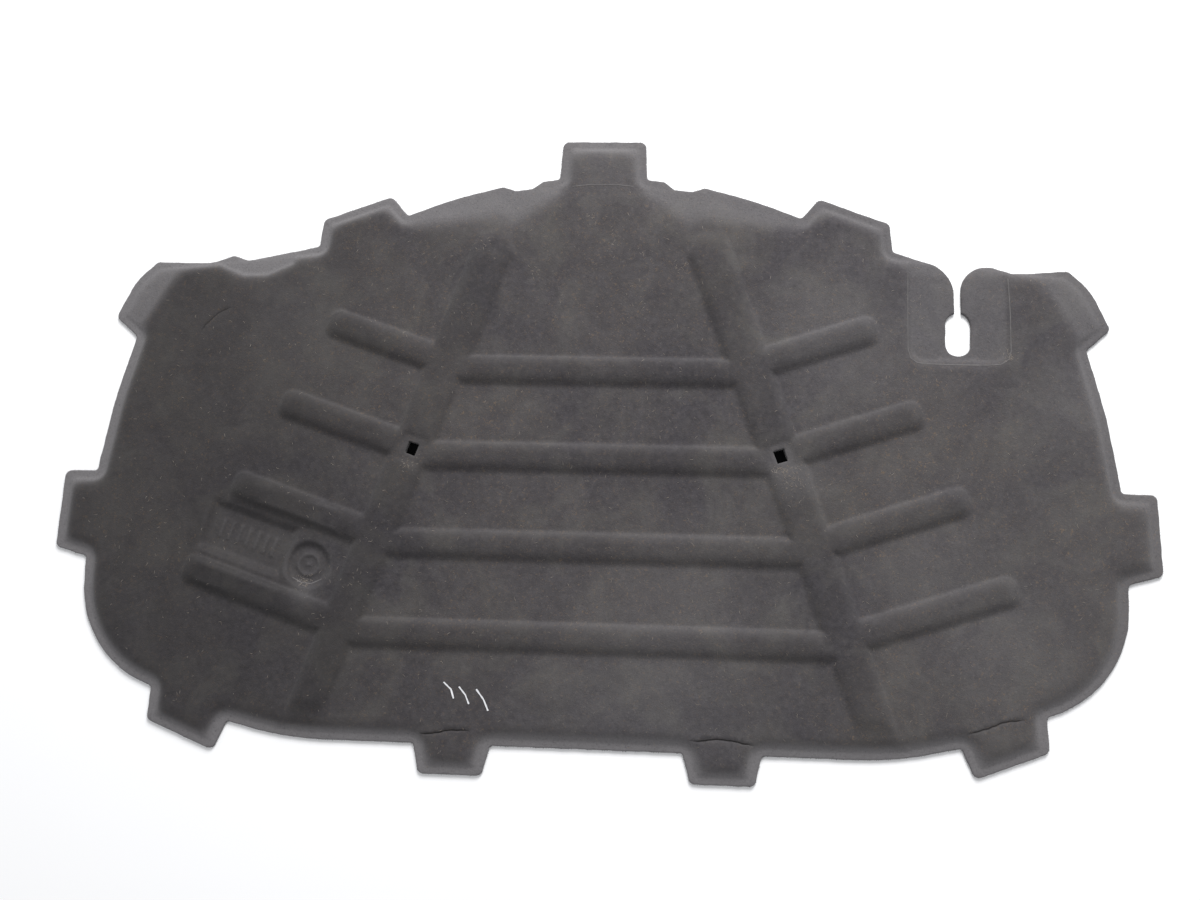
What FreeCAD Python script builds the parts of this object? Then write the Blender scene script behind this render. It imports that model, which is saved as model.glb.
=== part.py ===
import FreeCAD, Part
import math
import os

# Hood insulation pad: one sheet of felt, pressed to a thin rim and a thicker field, with a raised net of ribs.
# It lies on its hood side at z = 0, engine side up, with +Y to the front of the hood and +X to the right.
# Places are (across, forward) from the middle of the pad, for the right half unless a name says left.

# Thickness of the felt, from the flat back up
RIM_HEIGHT = 3.0
FIELD_RISE = 7.0
RIB_RISE = 6.0
CROWN_EDGE = 1.5
SHOULDER_HEIGHT = 4.0
CORNER_TAB_HEIGHT = 5.5
SLOT_ZONE_HEIGHT = 5.0
SLOT_BAND_HEIGHT = 3.5
RECESS_HEIGHT = 5.0
RIB_WALL = 11.0

# Flanks, measured flat
RIM_WIDTH = 8.0
FIELD_FLANK = 7.0
SHOULDER_FLANK = 12.0
BAY_FLANK = 8.0
CORNER_TAB_FLANK = 16.0
SLOT_ZONE_FLANK = 4.0
SLOT_BAND_FLANK = 2.0
RECESS_FLANK = 8.0
RIB_UPPER_FLANK = 4.5
RIB_LOWER_FLANK = 7.0
RIB_END_FLANK = 6.0
RIB_FOOT_SPREAD = 8.0

# Rounding of the outline, and how much of a straight side its two roundings may take up
TAB_CORNER = 7.0
TAB_ROOT = 4.0
REAR_CORNER = 117.0
SMALL_ROUND = 8.0
SOFT_ROUND = 60.0
GENTLE_BEND = 350.0
LEAST_ROUND = 2.0
MOST_OF_SIDE = 0.98

# Tabs that tuck behind the hood's inner panel: root places, how far the tab stands out, how much each side leans in
FRONT_TAB_ROOT = (47.5, 295.5)
FRONT_TAB_REACH = 43.0
FRONT_TAB_LEAN = 2.5
UPPER_TAB_ROOTS = ((213.0, 252.5), (309.5, 217.0))
UPPER_TAB_REACH = 27.5
UPPER_TAB_LEANS = (10.5, 13.5)
SIDE_TAB_ROOTS = ((537.0, -35.5), (540.5, -127.5))
SIDE_TAB_REACH = 35.0
SIDE_TAB_LEANS = (2.0, 8.0)
REAR_CORNER_TAB_ROOTS = ((457.5, -260.5), (374.0, -293.5))
REAR_CORNER_TAB_REACH = 32.5
REAR_CORNER_TAB_LEANS = (11.0, 1.0)
REAR_TAB_ROOTS = ((177.0, -308.5), (98.0, -308.5))
REAR_TAB_REACH = 30.0
REAR_TAB_LEANS = (6.5, 7.5)

# Front corner tab: its outer edge bends from the front edge round to the tip
CORNER_TAB_FRONT = (490.5, 197.5)
CORNER_TAB_BEND = (513.0, 176.0)
CORNER_TAB_TIP = (531.5, 135.0)
CORNER_TAB_NOTCH = (506.5, 113.0)

# Edges between the tabs
SHOULDER_STEP = (66.0, 293.0)
SHOULDER_FOOT = (77.0, 284.5)
SHOULDER_DIP = (96.0, 282.0)
SHOULDER_HUMP = (110.0, 286.5)
SHOULDER_BEND = (166.0, 271.5)
LEFT_DIP = (389.0, 200.0)
LEFT_HUMP = (404.0, 206.0)
LEFT_HUMP_FOOT = (428.0, 197.0)
SIDE_BEND = (524.5, 44.0)
REAR_CORNER_AT = (540.0, -233.0)
REAR_BEND = (308.0, -308.5)

# Slot of the right side, open to the front edge through a narrow neck, and the hump of the edge beside it
SLOT_X = 376.0
SLOT_WIDTH = 26.0
SLOT_REAR = 104.5
SLOT_LENGTH = 46.0
NECK_WIDTH = 7.0
NECK_LEFT_TOP = 195.0
NECK_RIGHT_TOP = 200.0
NECK_LEFT_ROUND = 34.0
NECK_RIGHT_ROUND = 26.0
RIGHT_HUMP_ASIDE = 36.0
RIGHT_HUMP_Y = 201.0
RIGHT_FOOT_ASIDE = 56.0
RIGHT_FOOT_Y = 193.5
SLOT_ZONE_LEFT = 49.0
SLOT_ZONE_RIGHT = 49.0
SLOT_ZONE_BEHIND = 5.0
SLOT_ZONE_CORNER = 14.0
SLOT_BAND_WIDTH = 40.0
SLOT_BAND_BEHIND = 2.5

# Floors of the zones that are pressed thinner than the field, beside the tabs
SHOULDER_ZONE = ((50.0, 305.0), (50.0, 281.0), (70.0, 270.0), (91.0, 254.0), (99.0, 241.0),
                 (128.0, 255.0), (166.0, 251.5), (204.0, 247.0), (204.0, 305.0))
LEFT_BAY = ((330.0, 225.0), (338.0, 198.0), (365.0, 185.5), (390.0, 184.5), (412.0, 193.0), (428.0, 203.0),
            (428.0, 225.0))
CORNER_ZONE = ((452.0, 210.0), (478.0, 172.0), (503.0, 128.0), (545.0, 128.0), (545.0, 210.0))

# Rib net: two diagonals, cross ribs between them, and a finger that leaves each end of each cross rib
DIAGONAL_OUTER = ((146.0, 198.5), (311.0, -278.5))
DIAGONAL_INNER = ((91.0, 208.5), (263.0, -268.5))
DIAGONAL_FRONT = 264.0
DIAGONAL_NOSE_WIDTH = 15.0
DIAGONAL_REAR = -291.0
DIAGONAL_REAR_FLANK = 20.0
RAMP_LENGTH = 66.0
RIB_ROWS = 4
RIB_FIRST = 80.5
RIB_PITCH = 93.0
RIB_WIDTH = 33.0
FINGER_WIDTH = 34.0
FINGER_ANGLE = 18.3
FINGER_ROOT = 15.0
FINGER_LENGTH = 164.0
FINGER_GAIN = 13.2
FINGER_ROUND = 13.0

# Hollows pressed into the back behind the ribs
HOLLOW_INSET = 7.0
HOLLOW_FLANK = 4.0
HOLLOW_FRONT = 185.0
HOLLOW_REAR = -262.0

# Clip holes on the diagonals, each in a shallow dish
CLIP_HOLE = (11.0, 13.0)
CLIP_HOLE_Y = -6.0
DISH_WIDTH = 27.0
DISH_DEPTH = 2.5
DISH_FLANK = 5.0

# Recesses between the two lower fingers of the left side, with plain bars on the floor of one and a ring in the other
PANEL_AT = (-364.0, -103.5)
PANEL_LENGTH = 85.0
PANEL_WIDTH = 41.5
STAMP_AT = (-297.0, -130.0)
STAMP_RADIUS = 19.0
STAMP_FLANK = 6.0
MARK_RISE = 1.6
BARS = 7
BAR_PITCH = 10.0
BAR_WIDTH = 4.5
BAR_LENGTH = 21.0
RING_RADIUS = 13.0
RING_WIDTH = 4.0
STUD_RADIUS = 3.0

# How far a cutter runs past the felt, and how deep a rib's root sits in the felt below it
CLEAR = 5.0
BITE = 1.0
TOLERANCE = 1e-6

FIELD_HEIGHT = RIM_HEIGHT + FIELD_RISE
RIB_HEIGHT = FIELD_HEIGHT + RIB_RISE
HOLLOW_DEPTH = RIB_HEIGHT - RIB_WALL


def sharp(*places):
    """Corners with no rounding at these places."""
    return [(x, y, 0.0) for x, y in places]


def mirrored(corners):
    """The same corners on the other half, in the opposite order, so that the direction of travel is kept."""
    return [(-x, y, r) for x, y, r in reversed(corners)]


def unit(a, b):
    """Direction from a to b, and the distance."""
    dx, dy = b[0] - a[0], b[1] - a[1]
    length = math.hypot(dx, dy)
    return dx / length, dy / length, length


def inward(corners):
    """1 where the inside is on the left of the direction of travel, else -1."""
    area = 0.0
    for a, b in zip(corners, corners[1:] + corners[:1]):
        area += a[0] * b[1] - b[0] * a[1]
    return 1.0 if area > 0 else -1.0


def inset(corners, distances):
    """Move each side of a closed outline inwards, by one distance or by one for each side, and fit the rounding."""
    count = len(corners)
    if not isinstance(distances, (list, tuple)):
        distances = [distances] * count
    side = inward(corners)
    moved = []
    for i, (x, y, r) in enumerate(corners):
        ux, uy, _ = unit(corners[i - 1], corners[i])
        vx, vy, _ = unit(corners[i], corners[(i + 1) % count])
        before, after = distances[i - 1], distances[i]
        turn = ux * vy - uy * vx
        normal = (-uy * side, ux * side)
        if before == after:
            share = before / (1.0 + ux * vx + uy * vy)
            shift = ((normal[0] - vy * side) * share, (normal[1] + vx * side) * share)
        else:
            along = (after - before * (ux * vx + uy * vy)) / (turn * side)
            shift = (normal[0] * before - ux * along, normal[1] * before - uy * along)
        if r > 0:
            growth = -0.5 * (before + after) if turn * side > 0 else 0.5 * (before + after)
            r = max(r + growth, LEAST_ROUND)
        moved.append((x + shift[0], y + shift[1], r))
    return moved


def wire(corners, z):
    """Closed wire at one height: straight sides, and a tangent arc at each rounded corner."""
    count = len(corners)
    sides = [unit(corners[i], corners[(i + 1) % count]) for i in range(count)]
    tangents = []
    for i, (_, _, r) in enumerate(corners):
        (ux, uy, _), (vx, vy, _) = sides[i - 1], sides[i]
        bend = math.acos(max(-1.0, min(1.0, ux * vx + uy * vy)))
        tangents.append(r * math.tan(bend / 2))
    limits = [1.0] * count
    for i in range(count):
        taken = tangents[i] + tangents[(i + 1) % count]
        room = MOST_OF_SIDE * sides[i][2]
        if taken > room:
            share = room / taken
            limits[i] = min(limits[i], share)
            limits[(i + 1) % count] = min(limits[(i + 1) % count], share)
    edges = []
    start = None
    first = None
    for i, (x, y, r) in enumerate(corners):
        (ux, uy, _), (vx, vy, _) = sides[i - 1], sides[i]
        t = tangents[i] * limits[i]
        a = FreeCAD.Vector(x - ux * t, y - uy * t, z)
        b = FreeCAD.Vector(x + vx * t, y + vy * t, z)
        if start is not None:
            edges.append(Part.LineSegment(start, a).toShape())
        else:
            first = a
        if r > 0:
            radius = r * limits[i]
            bx, by = vx - ux, vy - uy
            size = math.hypot(bx, by)
            depth = math.hypot(t, radius) - radius
            middle = FreeCAD.Vector(x + bx / size * depth, y + by / size * depth, z)
            edges.append(Part.Arc(a, middle, b).toShape())
        start = b
    edges.append(Part.LineSegment(start, first).toShape())
    return Part.Wire(edges)


def flattened(face):
    """The face on a true plane where its four sides are straight and lie in one, or as it is."""
    sides = face.OuterWire.OrderedVertexes
    if face.findPlane() is None or len(sides) != 4:
        return face
    points = [corner.Point for corner in sides]
    return Part.Face(Part.makePolygon(points + points[:1]))


def layered(sections):
    """Solid through flat outlines at rising heights, each given as (corners, height), with flat or conical flanks."""
    loft = Part.makeLoft([wire(corners, z) for corners, z in sections], True, True)
    shell = Part.makeShell([flattened(face) for face in loft.Faces])
    shell.sewShape()
    solid = Part.Solid(shell)
    solid.fix(TOLERANCE, TOLERANCE, TOLERANCE)
    return solid


def pressed(corners, floor, flank, level):
    """Cutter that leaves a flat floor, with flanks that lean out to the level around it and run on past it."""
    over = level + CLEAR
    spread = flank * (over - floor) / (level - floor)
    return layered([(corners, floor), (inset(corners, -spread), over)])


def raised(corners, flanks):
    """Rib on the field: its outline at the field's level, its flanks up to the crown, its root in the felt below."""
    root = RIM_HEIGHT - BITE
    spread = [-RIB_FOOT_SPREAD] * len(corners)
    crown = [flank + CROWN_EDGE for flank in flanks]
    return layered([
        (inset(corners, spread), root),
        (corners, FIELD_HEIGHT),
        (inset(corners, flanks), RIB_HEIGHT - CROWN_EDGE),
        (inset(corners, crown), RIB_HEIGHT),
    ])


def hollow(corners):
    """Cutter for the hollow behind a rib, with plain corners, open to the back."""
    mouth = inset(sharp(*[(x, y) for x, y, _ in corners]), HOLLOW_INSET)
    roof = inset(mouth, HOLLOW_FLANK)
    return layered([(mouth, -CLEAR), (mouth, 0.0), (roof, HOLLOW_DEPTH)])


def tab(roots, reach, leans):
    """Corners of one tab: root, end, end, root; the tab stands out on the left of the line between its roots."""
    a, b = roots
    ux, uy, _ = unit(a, b)
    out = (-uy * reach, ux * reach)
    end_a = (a[0] + out[0] + ux * leans[0], a[1] + out[1] + uy * leans[0])
    end_b = (b[0] + out[0] - ux * leans[1], b[1] + out[1] - uy * leans[1])
    return [(*a, TAB_ROOT), (*end_a, TAB_CORNER), (*end_b, TAB_CORNER), (*b, TAB_ROOT)]


def front_tab():
    """Right half of the tab on the centre line."""
    x, y = FRONT_TAB_ROOT
    return [(x - FRONT_TAB_LEAN, y + FRONT_TAB_REACH, TAB_CORNER), (x, y, TAB_ROOT)]


def shoulder():
    """Small step and hump of the edge beside the front tab."""
    return [
        (*SHOULDER_STEP, SMALL_ROUND / 2),
        (*SHOULDER_FOOT, SMALL_ROUND / 2),
        (*SHOULDER_DIP, SMALL_ROUND),
        (*SHOULDER_HUMP, SMALL_ROUND),
    ]


def left_hump():
    """Hump of the left front edge."""
    return [(*LEFT_DIP, SMALL_ROUND), (*LEFT_HUMP, SMALL_ROUND), (*LEFT_HUMP_FOOT, SOFT_ROUND)]


def neck():
    """Right front edge down into the neck of the slot and out again."""
    left, right = SLOT_X - NECK_WIDTH / 2, SLOT_X + NECK_WIDTH / 2
    foot = SLOT_REAR + SLOT_LENGTH - SLOT_WIDTH / 2
    return [
        (left, NECK_LEFT_TOP, NECK_LEFT_ROUND),
        (left, foot, 0.0),
        (right, foot, 0.0),
        (right, NECK_RIGHT_TOP, NECK_RIGHT_ROUND),
        (SLOT_X + RIGHT_HUMP_ASIDE, RIGHT_HUMP_Y, SMALL_ROUND),
        (SLOT_X + RIGHT_FOOT_ASIDE, RIGHT_FOOT_Y, SMALL_ROUND),
    ]


def half(shoulder_edge, front_edge):
    """Corners of the right half of the pad, from the front tab round to the rear tab."""
    corners = front_tab() + shoulder_edge
    corners.append((*SHOULDER_BEND, GENTLE_BEND))
    corners += tab(UPPER_TAB_ROOTS, UPPER_TAB_REACH, UPPER_TAB_LEANS)
    corners += front_edge
    corners.append((*CORNER_TAB_FRONT, SMALL_ROUND))
    corners.append((*CORNER_TAB_BEND, SOFT_ROUND))
    corners.append((*CORNER_TAB_TIP, TAB_CORNER))
    corners.append((*CORNER_TAB_NOTCH, TAB_ROOT))
    corners.append((*SIDE_BEND, GENTLE_BEND))
    corners += tab(SIDE_TAB_ROOTS, SIDE_TAB_REACH, SIDE_TAB_LEANS)
    corners.append((*REAR_CORNER_AT, REAR_CORNER))
    corners += tab(REAR_CORNER_TAB_ROOTS, REAR_CORNER_TAB_REACH, REAR_CORNER_TAB_LEANS)
    corners.append((*REAR_BEND, GENTLE_BEND))
    corners += tab(REAR_TAB_ROOTS, REAR_TAB_REACH, REAR_TAB_LEANS)
    return corners


def sheet():
    """Rim and field: the whole outline at the rim's thickness, and the field on it, set in from a plainer outline."""
    outline = half(shoulder(), neck()) + mirrored(half(shoulder(), left_hump()))
    plain = half([], []) + mirrored(half([], []))
    rim = layered([(outline, 0.0), (outline, RIM_HEIGHT)])
    foot = inset(plain, RIM_WIDTH)
    top = inset(foot, FIELD_FLANK)
    crown = inset(top, CROWN_EDGE)
    field = layered([(foot, 0.0), (foot, RIM_HEIGHT), (top, FIELD_HEIGHT - CROWN_EDGE), (crown, FIELD_HEIGHT)])
    within = layered([(outline, 0.0), (outline, FIELD_HEIGHT)])
    return rim, field.common(within)


def on_both_sides(shapes):
    """The shapes of the right half, and their mirror images."""
    return shapes + [shape.mirror(FreeCAD.Vector(0, 0, 0), FreeCAD.Vector(1, 0, 0)) for shape in shapes]


def turned_box(middle, size, angle):
    """Corners of a rectangle round a place, with its first side turned by an angle in degrees."""
    ux, uy = math.cos(math.radians(angle)), math.sin(math.radians(angle))
    corners = []
    for a, b in ((1, 1), (-1, 1), (-1, -1), (1, -1)):
        along, across = a * size[0] / 2, b * size[1] / 2
        corners.append((middle[0] + ux * along - uy * across, middle[1] + uy * along + ux * across, 0.0))
    return corners


def pressed_zones():
    """Cutters for the zones pressed thinner than the field."""
    shoulder_zone = pressed(sharp(*SHOULDER_ZONE), SHOULDER_HEIGHT, SHOULDER_FLANK, FIELD_HEIGHT)
    corner_zone = pressed(sharp(*CORNER_ZONE), CORNER_TAB_HEIGHT, CORNER_TAB_FLANK, FIELD_HEIGHT)
    bay = pressed(mirrored(sharp(*LEFT_BAY)), SHOULDER_HEIGHT, BAY_FLANK, FIELD_HEIGHT)
    return on_both_sides([shoulder_zone, corner_zone]) + [bay] + slot_zones() + recesses()


def slot_zones():
    """Cutters for the thin zone round the slot and the thinner band along it, both open to the front."""
    front = UPPER_TAB_ROOTS[1][1] + CLEAR
    rear = SLOT_REAR - SLOT_ZONE_BEHIND
    left, right = SLOT_X - SLOT_ZONE_LEFT, SLOT_X + SLOT_ZONE_RIGHT
    zone = [(left, front, 0.0), (left, rear, SLOT_ZONE_CORNER), (right, rear, SLOT_ZONE_CORNER), (right, front, 0.0)]
    band_left, band_right = SLOT_X - SLOT_BAND_WIDTH / 2, SLOT_X + SLOT_BAND_WIDTH / 2
    band_rear = SLOT_REAR - SLOT_BAND_BEHIND
    band = sharp((band_left, front), (band_left, band_rear), (band_right, band_rear), (band_right, front))
    return [
        pressed(zone, SLOT_ZONE_HEIGHT, SLOT_ZONE_FLANK, FIELD_HEIGHT),
        pressed(band, SLOT_BAND_HEIGHT, SLOT_BAND_FLANK, SLOT_ZONE_HEIGHT),
    ]


def recesses():
    """Cutters for the oblong panel and the round stamp between the two lower fingers of the left side."""
    panel = turned_box(PANEL_AT, (PANEL_LENGTH, PANEL_WIDTH), -FINGER_ANGLE)
    over = FIELD_HEIGHT + CLEAR
    rise = over - RECESS_HEIGHT
    mouth = STAMP_RADIUS + STAMP_FLANK * rise / (FIELD_HEIGHT - RECESS_HEIGHT)
    stamp = Part.makeCone(STAMP_RADIUS, mouth, rise, FreeCAD.Vector(*STAMP_AT, RECESS_HEIGHT))
    return [pressed(panel, RECESS_HEIGHT, RECESS_FLANK, FIELD_HEIGHT), stamp]


def recess_marks():
    """Plain bars across the floor of the oblong panel, and a ring with a stud on the floor of the round stamp."""
    root, top = RECESS_HEIGHT - BITE, RECESS_HEIGHT + MARK_RISE
    ux, uy = math.cos(math.radians(FINGER_ANGLE)), -math.sin(math.radians(FINGER_ANGLE))
    marks = []
    for bar in range(BARS):
        along = (bar - (BARS - 1) / 2) * BAR_PITCH
        middle = (PANEL_AT[0] + ux * along, PANEL_AT[1] + uy * along)
        corners = turned_box(middle, (BAR_WIDTH, BAR_LENGTH), -FINGER_ANGLE)
        marks.append(layered([(corners, root), (corners, top)]))
    foot = FreeCAD.Vector(*STAMP_AT, root)
    ring = Part.makeCylinder(RING_RADIUS, top - root, foot)
    ring = ring.cut(Part.makeCylinder(RING_RADIUS - RING_WIDTH, top - root, foot))
    return marks + [ring, Part.makeCylinder(STUD_RADIUS, top - root, foot)]


def at_height(line, y):
    """Place on a line of the diagonal, at this distance forward."""
    (x0, y0), (x1, y1) = line
    return x0 + (x1 - x0) * (y - y0) / (y1 - y0), y


def diagonal():
    """Right diagonal, narrowed to a nose at the front, where it ramps down to the thin edge."""
    nose = at_height(DIAGONAL_OUTER, DIAGONAL_FRONT)
    corners = sharp(
        nose,
        at_height(DIAGONAL_OUTER, DIAGONAL_REAR),
        at_height(DIAGONAL_INNER, DIAGONAL_REAR),
        DIAGONAL_INNER[0],
        (nose[0] - DIAGONAL_NOSE_WIDTH, nose[1]))
    flanks = [RIB_UPPER_FLANK, DIAGONAL_REAR_FLANK, RIB_LOWER_FLANK, RIB_UPPER_FLANK, CROWN_EDGE]
    return raised(corners, flanks).cut(ramp())


def ramp():
    """Cutter above the slope at the front of the right diagonal."""
    top = RIB_HEIGHT + CLEAR
    foot_y = DIAGONAL_FRONT + RIB_FOOT_SPREAD
    slope = RAMP_LENGTH / (RIB_HEIGHT - RIM_HEIGHT)
    profile = [
        (foot_y, RIM_HEIGHT),
        (foot_y + CLEAR, RIM_HEIGHT),
        (foot_y + CLEAR, top),
        (foot_y - slope * (top - RIM_HEIGHT), top),
    ]
    points = [FreeCAD.Vector(0, y, z) for y, z in profile]
    width = DIAGONAL_OUTER[0][0] + CLEAR
    return Part.Face(Part.makePolygon(points + points[:1])).extrude(FreeCAD.Vector(width, 0, 0))


def row_places():
    """Distance forward of each cross rib."""
    return [RIB_FIRST - RIB_PITCH * row for row in range(RIB_ROWS)]


def cross_rib_corners(y):
    """Outline of one cross rib, run into the middle of both diagonals."""
    end = (at_height(DIAGONAL_INNER, y)[0] + at_height(DIAGONAL_OUTER, y)[0]) / 2
    front, rear = y + RIB_WIDTH / 2, y - RIB_WIDTH / 2
    return sharp((-end, front), (end, front), (end, rear), (-end, rear))


def finger_corners(row, y):
    """Outline of the right finger of a row: it leaves the cross rib's end at an angle, and its far end is rounded."""
    x0, y0 = at_height(DIAGONAL_INNER, y)
    ux, uy = math.cos(math.radians(FINGER_ANGLE)), math.sin(math.radians(FINGER_ANGLE))
    length = FINGER_LENGTH + FINGER_GAIN * row
    corners = []
    for along, side, radius in (
            (FINGER_ROOT, 0.5, 0.0),
            (length, 0.5, FINGER_ROUND),
            (length, -0.5, FINGER_ROUND),
            (FINGER_ROOT, -0.5, 0.0)):
        across = side * FINGER_WIDTH
        corners.append((x0 + ux * along - uy * across, y0 + uy * along + ux * across, radius))
    return corners


def rib_net():
    """Diagonals, cross ribs and fingers, all to one height."""
    ribs = []
    right = [diagonal()]
    for row, y in enumerate(row_places()):
        flanks = [RIB_UPPER_FLANK, RIB_END_FLANK, RIB_LOWER_FLANK, RIB_END_FLANK]
        ribs.append(raised(cross_rib_corners(y), flanks))
        right.append(raised(finger_corners(row, y), flanks))
    return ribs + on_both_sides(right)


def back_hollows():
    """Cutters for the hollows behind the rib net."""
    diagonal_back = sharp(
        at_height(DIAGONAL_OUTER, HOLLOW_FRONT),
        at_height(DIAGONAL_OUTER, HOLLOW_REAR),
        at_height(DIAGONAL_INNER, HOLLOW_REAR),
        at_height(DIAGONAL_INNER, HOLLOW_FRONT))
    hollows = []
    right = [hollow(diagonal_back)]
    for row, y in enumerate(row_places()):
        hollows.append(hollow(cross_rib_corners(y)))
        right.append(hollow(finger_corners(row, y)))
    return hollows + on_both_sides(right)


def clip_holes():
    """Cutters for the oblong clip holes on the middle line of the diagonals, and for the dish round each."""
    outer, inner = at_height(DIAGONAL_OUTER, CLIP_HOLE_Y), at_height(DIAGONAL_INNER, CLIP_HOLE_Y)
    middle = ((outer[0] + inner[0]) / 2, CLIP_HOLE_Y)
    ux, uy, _ = unit(DIAGONAL_OUTER[1], DIAGONAL_OUTER[0])
    angle = math.degrees(math.atan2(uy, ux)) - 90.0
    hole = turned_box(middle, CLIP_HOLE, angle)
    dish = turned_box(middle, (DISH_WIDTH, DISH_WIDTH), angle)
    through = layered([(hole, -CLEAR), (hole, RIB_HEIGHT + CLEAR)])
    return on_both_sides([through, pressed(dish, RIB_HEIGHT - DISH_DEPTH, DISH_FLANK, RIB_HEIGHT)])


def slot():
    """Cutter for the round-ended slot at the end of the neck."""
    end = SLOT_WIDTH / 2
    front = SLOT_REAR + SLOT_LENGTH
    corners = [
        (SLOT_X - end, front, end),
        (SLOT_X + end, front, end),
        (SLOT_X + end, SLOT_REAR, end),
        (SLOT_X - end, SLOT_REAR, end),
    ]
    return layered([(corners, -CLEAR), (corners, FIELD_HEIGHT + CLEAR)])


def insulation_pad():
    """The whole pad as one solid."""
    rim, field = sheet()
    pad = rim.fuse(field).removeSplitter()
    pad = pad.cut(pressed_zones())
    pad = pad.fuse(rib_net() + recess_marks()).removeSplitter()
    pad = pad.cut(back_hollows())
    pad = pad.cut(clip_holes() + [slot()])
    return pad.removeSplitter().Solids[0]


os.makedirs("parts", exist_ok=True)
insulation_pad().exportStep("parts/insulation_pad.step")
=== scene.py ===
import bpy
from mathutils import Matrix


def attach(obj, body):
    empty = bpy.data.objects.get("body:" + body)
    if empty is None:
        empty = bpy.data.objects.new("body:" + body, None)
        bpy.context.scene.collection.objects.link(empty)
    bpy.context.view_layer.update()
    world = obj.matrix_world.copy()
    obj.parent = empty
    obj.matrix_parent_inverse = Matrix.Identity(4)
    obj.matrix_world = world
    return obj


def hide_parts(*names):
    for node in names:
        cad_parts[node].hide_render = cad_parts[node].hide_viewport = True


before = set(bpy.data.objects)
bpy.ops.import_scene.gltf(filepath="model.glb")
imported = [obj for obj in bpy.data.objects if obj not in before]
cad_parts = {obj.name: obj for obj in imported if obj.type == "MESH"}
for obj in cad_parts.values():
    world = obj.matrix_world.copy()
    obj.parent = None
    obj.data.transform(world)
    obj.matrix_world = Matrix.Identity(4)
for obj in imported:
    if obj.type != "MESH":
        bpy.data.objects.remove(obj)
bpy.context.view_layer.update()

import math
import random

import bpy
import numpy as np
from mathutils import Euler, Vector, noise
from mathutils.bvhtree import BVHTree
from mathutils.geometry import delaunay_2d_cdt

# Beside the real dust and wear, some light and shade is painted into the felt's colour.
# Hood insulation pad as soft pressed felt. Its surface follows the CAD pad, with round crowns and crisp feet,
# and carries the fibres, cracks and wear that the CAD solid leaves out.
# Lengths are in millimetres until a mesh is made.
MM = 0.001
SEED = 7
TINY = 1e-9
WHOLLY = 0.99

# Joining of places: decimals of a CAD corner, and the distance and kind of result of the triangulation
CORNER_DECIMALS = 3
JOIN_DISTANCE = 1e-5
INSIDE_WITHOUT_HOLES = 2

# Sockets of a node that mixes two colours
FIRST_COLOUR = 6
SECOND_COLOUR = 7
MIXED_COLOUR = 2

# Grids: cells kept at their end so that each place has a next cell, margin of felt, and reach of a blur
GRID_END = 1.001
NEAR_FELT_CELLS = 2
BLUR_SIGMAS = 3
LEAST_FELT = 1e-6

# Fineness of the surface
CELL = 1.5
MAP_MARGIN = 4
RAY_START = 100.0
EDGE_STEP = 2.6
FINE_STEP = 2.2
COARSE_STEP = 5.0
MARK_STEP = 1.5
BACK_FINE_STEP = 4.5
BACK_COARSE_STEP = 11.0
HEXAGON_ROW = 0.866
NET_SHAKE = 0.15
BUSY_SLOPE = 0.08
BUSY_REACH = 2.0
BUSY_SHARE = 0.06
INNER_RING = 0.5

# Rise of the normal, by which the walls and the back of the CAD pad are told apart
WALL_RISE = 0.05
BACK_RISE = -0.9

# Softness of the felt: rounding of crowns, marks, shoulders, feet and cut edge, with lumps and grain
CROWN_SOFTNESS = 4.4
MARK_SOFTNESS = 1.6
MARK_BLEND = 2.0
SHOULDER_SOFTNESS = 9.0
SHOULDER_BLEND = 8.0
FOOT_SOFTNESS = 0.8
BACK_SOFTNESS = 2.0
EDGE_ROUND = 1.4
EDGE_DROP = 1.1
BACK_DROP = 0.3
EDGE_WANDER = 0.45
EDGE_WAVE = 14.0
EDGE_RIPPLE = 5.0
EDGE_RIPPLE_SHARE = 0.6
LUMP_HEIGHT = 0.45
LUMP_SIZE = 48.0
GRAIN_HEIGHT = 0.14
GRAIN_SIZE = 9.0

# Offsets that keep the noises apart
EDGE_WAVE_OFFSET = 3.1
EDGE_RIPPLE_OFFSET = 8.7
CRACK_OFFSET = 1.7
LUMP_OFFSET = 5.3
GRAIN_OFFSET = 2.9
STROKE_OFFSET = 6.1

# Levels of the pressed felt
RIM_LEVEL = 3.0
FIELD_LEVEL = 10.0

# Corners of the box round the two recesses, where the net is finest
MARKS_LOW = (-415.0, -160.0)
MARKS_HIGH = (-268.0, -64.0)

# Corners of the box round the shoulders beside the front tab, where the field falls softly
SHOULDERS_LOW = (-215.0, 232.0)
SHOULDERS_HIGH = (215.0, 284.0)

# Corners of the box round the slot, where thin felt is less pale than the rim
SLOT_ZONE_LOW = (322.0, 95.0)
SLOT_ZONE_HIGH = (430.0, 190.0)

# Cracks in the felt above three tabs, and one scratch: how open each is, and places along it
CRACKS = (
    (1.0, ((-170, -298.5), (-150, -296.5), (-140, -293.5), (-117, -293.5))),
    (1.0, ((105, -295.5), (115, -295), (133, -292.5), (143, -293.5), (165, -297), (170, -297.5))),
    (0.9, ((378, -278.5), (395, -273.5), (415, -265.5), (435, -262.5))),
    (0.4, ((-432, 118.5), (-428, 125.5), (-415, 138.5), (-408, 142.5), (-400, 145.5))),
)
CRACK_STEP = 1.6
CRACK_DEPTH = 1.5
CRACK_HALF_WIDTH = 1.2
CRACK_FLOOR = 0.2
CRACK_LIP = 1.1
CRACK_REACH = 3
CRACK_CLEARANCE = 1.1
CRACK_WANDER = 0.8
CRACK_WAVE = 6.0
CRACK_END_OPENING = 0.15
CRACK_END_RISE = 6

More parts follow.
